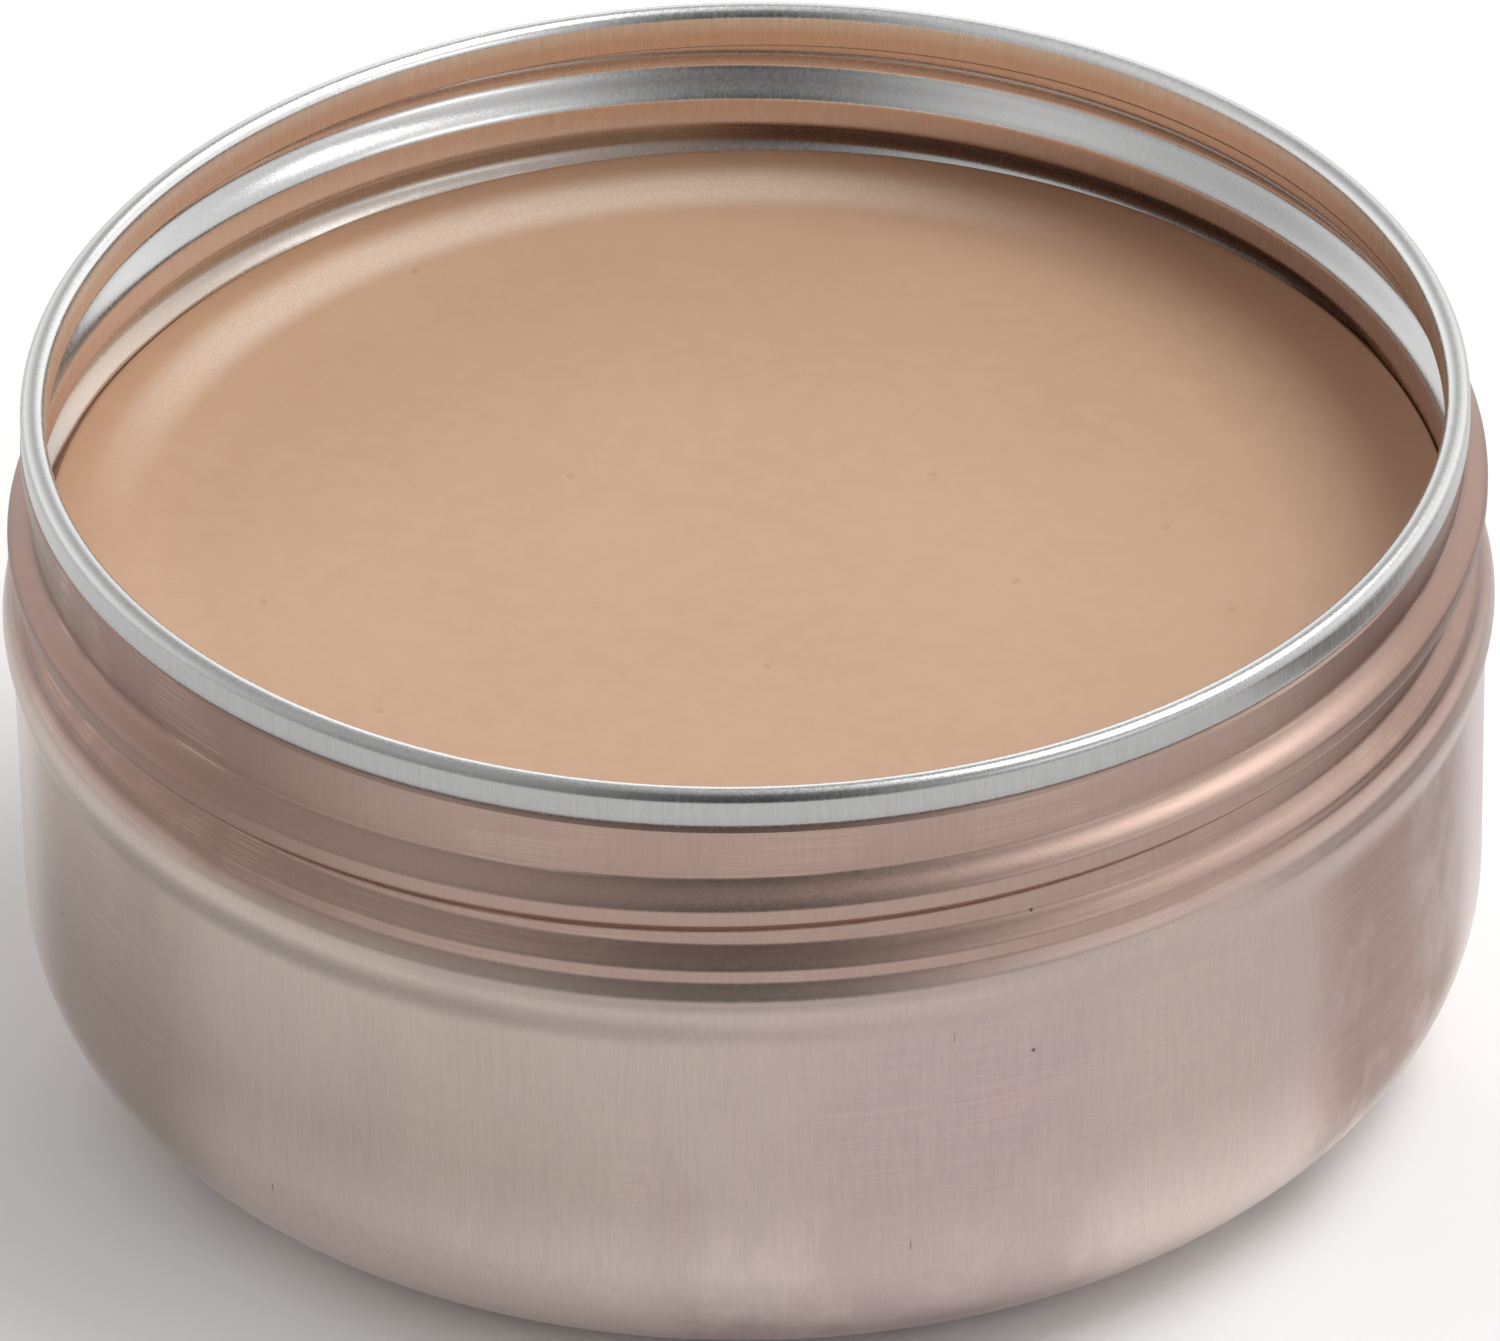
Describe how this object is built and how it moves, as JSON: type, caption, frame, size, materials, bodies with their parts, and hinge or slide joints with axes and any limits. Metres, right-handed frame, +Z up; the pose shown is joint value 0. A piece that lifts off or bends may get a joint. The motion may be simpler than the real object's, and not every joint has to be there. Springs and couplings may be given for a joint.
{
  "type": "shoe polish tin",
  "caption": "Round aluminium screw-top tin of shoe polish, standing open, with its screw lid and foam liner lying beside it.",
  "frame": {"origin": "centre of the tin's foot, on the surface it stands on", "axes": "+Z up along the tin's axis, +X from the tin towards the lid that lies beside it"},
  "size_m": [0.1736, 0.0704, 0.033],
  "materials": {
    "tin_aluminium": "fine brushed satin, bright on the rolled rim and inside, a rose-taupe cast on the outside wall",
    "polish_wax": "smooth poured wax cream, beige, faint sheen near the edge",
    "lid_aluminium": "fine brushed satin",
    "liner_foam": "fine closed-cell white foam"
  },
  "bodies": {
    "tin": {"tin_body": "tin_aluminium", "polish": "polish_wax"},
    "lid": {"screw_lid": "lid_aluminium", "lid_liner": "liner_foam"}
  },
  "joints": [
    {"name": "lid_lift", "type": "slide", "parent": "tin", "child": "lid", "axis": [0, 0, 1], "range_m": [0, 0.06]}
  ]
}
